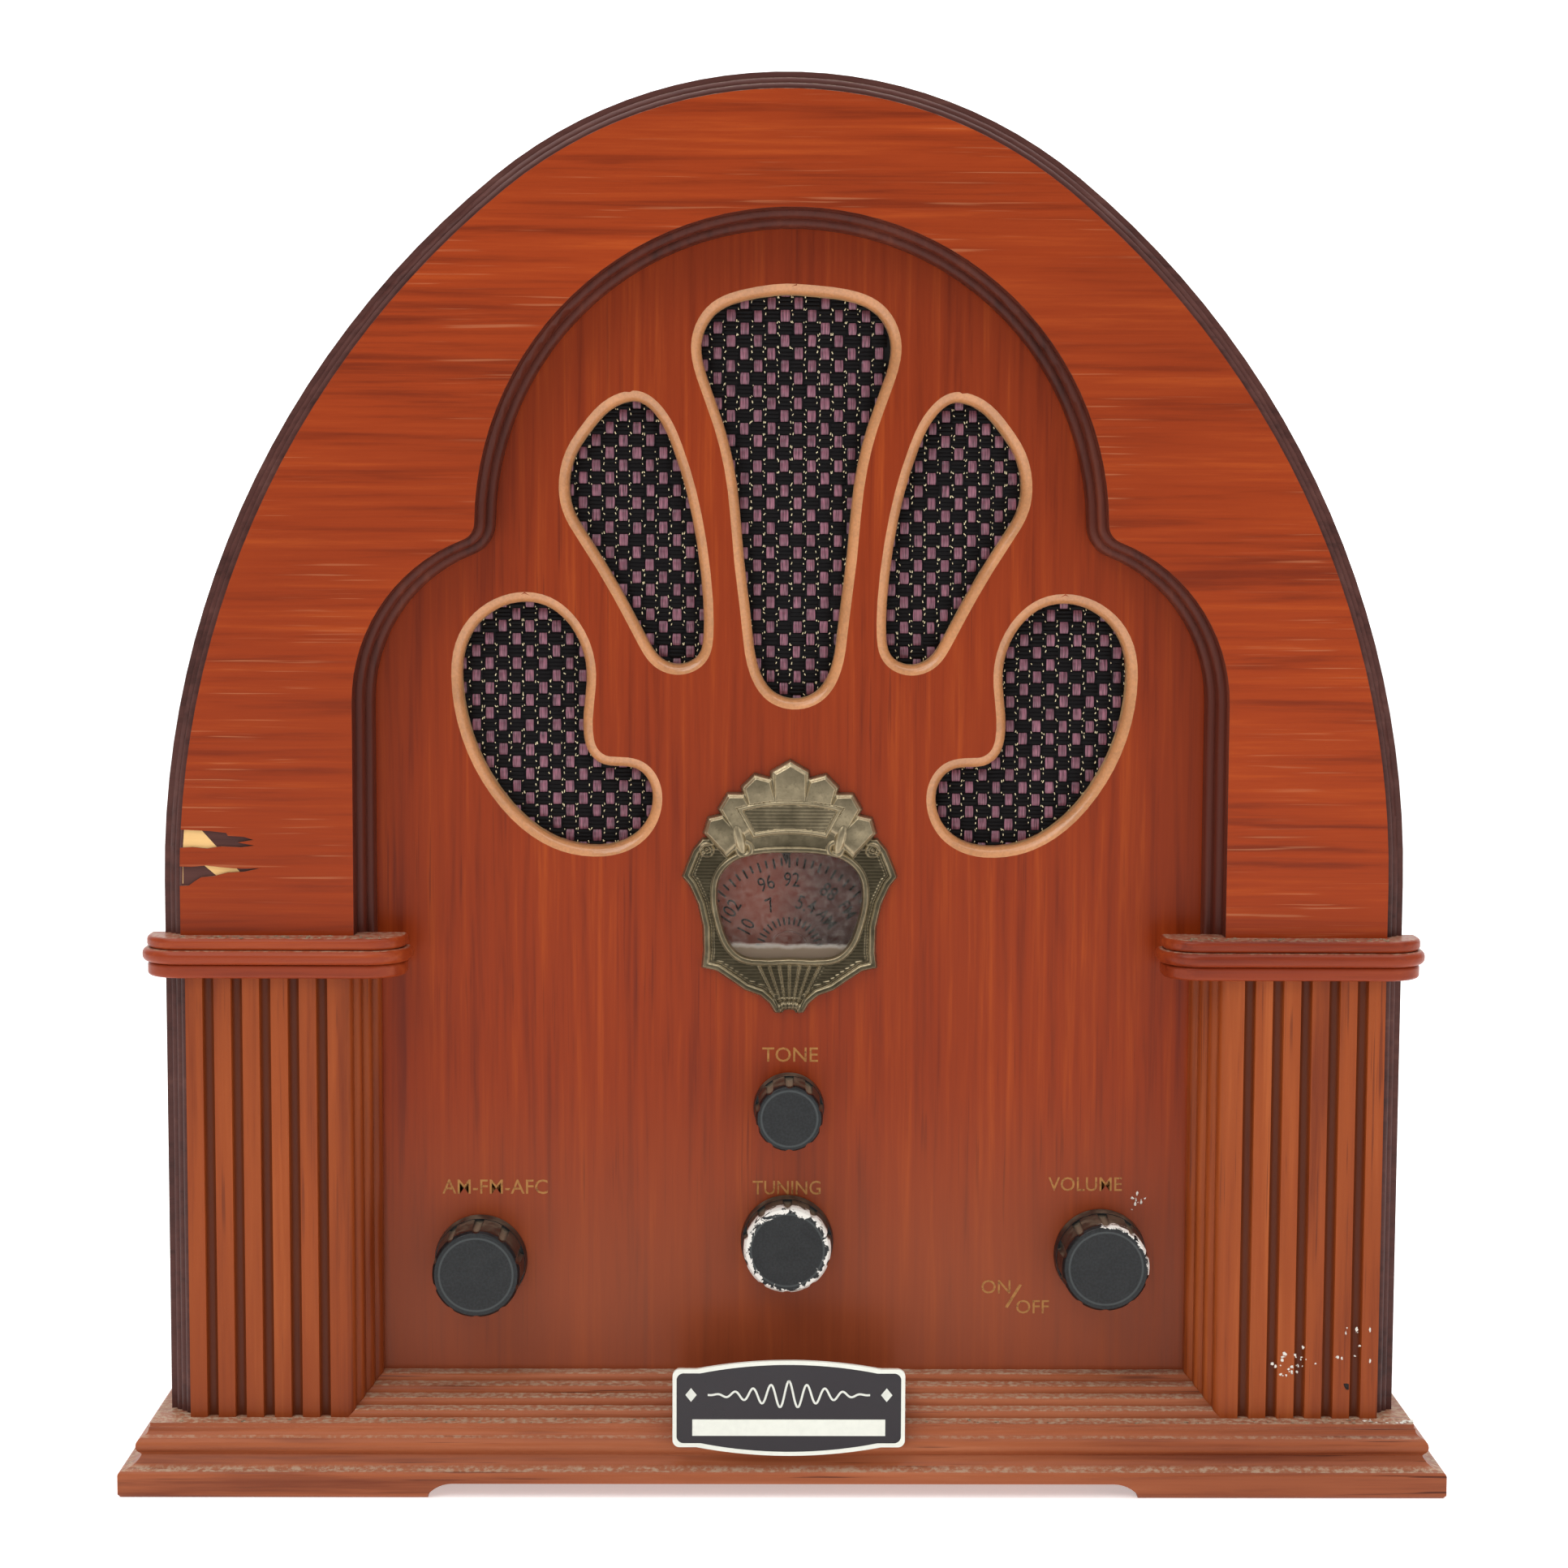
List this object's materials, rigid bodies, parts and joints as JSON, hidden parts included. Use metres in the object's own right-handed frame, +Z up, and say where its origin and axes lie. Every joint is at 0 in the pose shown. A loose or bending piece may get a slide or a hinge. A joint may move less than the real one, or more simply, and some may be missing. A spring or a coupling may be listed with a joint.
{
  "type": "cathedral table radio",
  "caption": "Arched wooden table radio with a lobed front, woven grille, dial window, rotary knobs, moulded plinth and a working interior.",
  "frame": {"origin": "middle of the bounding box on the surface the radio stands on", "axes": "+X to the right seen from the front, +Y towards the back, +Z up; the front faces -Y"},
  "size_m": [0.3032, 0.1664, 0.3227],
  "materials": {
    "walnut_plinth": "stained and lacquered hardwood",
    "reeded_edge": "dark stained medium board",
    "face_veneer": "lacquered veneer with open grain",
    "panel_veneer": "lacquered veneer, routed rims in lighter wood",
    "pilaster_wood": "stained and lacquered hardwood",
    "capital_wood": "glossy stained hardwood",
    "shell_veneer": "lacquered bent plywood",
    "raw_wood": "bare pine",
    "hardboard": "pressed hardboard",
    "zinc_steel": "zinc plated",
    "black_rubber": "matt",
    "phenolic": "moulded resin",
    "aged_brass": "antiqued cast metal",
    "clear_plastic": "clear pane",
    "dial_plastic": "translucent rose-brown plastic",
    "drum_plastic": "moulded nylon",
    "black_knob": "moulded black plastic, worn",
    "bright_steel": "turned steel",
    "control_body": "pressed steel cans",
    "brass_bright": "turned brass",
    "woven_cloth": "mauve and black weave with gold thread",
    "speaker_paint": "black paint",
    "magnet_ferrite": "pressed ferrite and steel",
    "paper_pulp": "black paper pulp",
    "foam_roll": "soft foam",
    "laminate": "paper laminate board",
    "can_aluminium": "drawn cans",
    "cap_sleeve": "shrink sleeve",
    "laminations": "stacked lacquered iron",
    "winding_tape": "taped copper coil",
    "ferrite": "pressed ferrite",
    "litz": "cotton covered litz wire",
    "lead_plastic": "insulated leads",
    "badge_metal": "black printed plate with a white border",
    "lamp_glass": "small lamp in a steel clip"
  },
  "bodies": {
    "cabinet": {"base_plinth": "walnut_plinth", "arch_board": "reeded_edge", "arch_veneer": "face_veneer", "front_panel": "panel_veneer", "right_pilaster": "pilaster_wood", "left_pilaster": "pilaster_wood", "right_capital": "capital_wood", "left_capital": "capital_wood", "bottom_rail": "walnut_plinth", "cabinet_shell": "shell_veneer", "back_cleats": "raw_wood", "back_panel": "hardboard", "back_screws": "zinc_steel", "cord_grommet": "black_rubber", "aerial_terminals": "phenolic", "badge_plate": "badge_metal", "badge_block": "walnut_plinth", "escutcheon": "aged_brass", "escutcheon_pins": "aged_brass", "dial_window": "clear_plastic", "gang_frame": "zinc_steel", "gang_stator": "can_aluminium", "gang_bracket": "zinc_steel", "dial_lamp": "lamp_glass", "volume_control": "control_body", "tone_control": "control_body", "band_switch": "control_body", "tuning_bearing": "zinc_steel", "control_nuts": "brass_bright", "grille_cloth": "woven_cloth", "speaker_baffle": "hardboard", "baffle_screws": "zinc_steel", "speaker_basket": "speaker_paint", "speaker_magnet": "magnet_ferrite", "speaker_surround": "foam_roll", "speaker_screws": "zinc_steel", "circuit_board": "laminate", "board_standoffs": "brass_bright", "board_screws": "zinc_steel", "if_transformers": "can_aluminium", "capacitors": "cap_sleeve", "transformer_core": "laminations", "transformer_winding": "winding_tape", "chassis_screws": "zinc_steel", "wire_harness": "lead_plastic", "ferrite_rod": "ferrite", "ferrite_coil": "litz", "rod_holders": "raw_wood"},
    "volume": {"volume_knob": "black_knob", "volume_shaft": "bright_steel"},
    "tone": {"tone_knob": "black_knob", "tone_shaft": "bright_steel"},
    "band": {"band_knob": "black_knob", "band_shaft": "bright_steel"},
    "tuning": {"tuning_knob": "black_knob", "tuning_spindle": "bright_steel"},
    "dial": {"dial_disc": "dial_plastic", "dial_drum": "drum_plastic", "gang_rotor": "can_aluminium"},
    "cone": {"speaker_cone": "paper_pulp"}
  },
  "joints": [
    {"name": "volume_turn", "type": "hinge", "parent": "cabinet", "child": "volume", "pos_m": [0.0747, -0.06, 0.0499], "axis": [0, 1, 0], "range_deg": [0, 300]},
    {"name": "tone_turn", "type": "hinge", "parent": "cabinet", "child": "tone", "pos_m": [0.0012, -0.06, 0.0849], "axis": [0, 1, 0], "range_deg": [-150, 150]},
    {"name": "band_turn", "type": "hinge", "parent": "cabinet", "child": "band", "pos_m": [-0.0711, -0.06, 0.0483], "axis": [0, 1, 0], "range_deg": [-30, 30]},
    {"name": "tuning_turn", "type": "hinge", "parent": "cabinet", "child": "tuning", "pos_m": [0.0009, -0.06, 0.0531], "axis": [0, 1, 0], "range_deg": [-450, 450]},
    {"name": "dial_turn", "type": "hinge", "parent": "cabinet", "child": "dial", "pos_m": [0.0012, -0.045, 0.1209], "axis": [0, 1, 0], "range_deg": [-88, 88]},
    {"name": "cone_travel", "type": "slide", "parent": "cabinet", "child": "cone", "axis": [0, 1, 0], "range_m": [-0.0008, 0.0008], "stiffness_N_per_m": 900}
  ],
  "couplings": [
    {"joint": "dial_turn", "follows": "tuning_turn", "ratio": 0.1951}
  ]
}
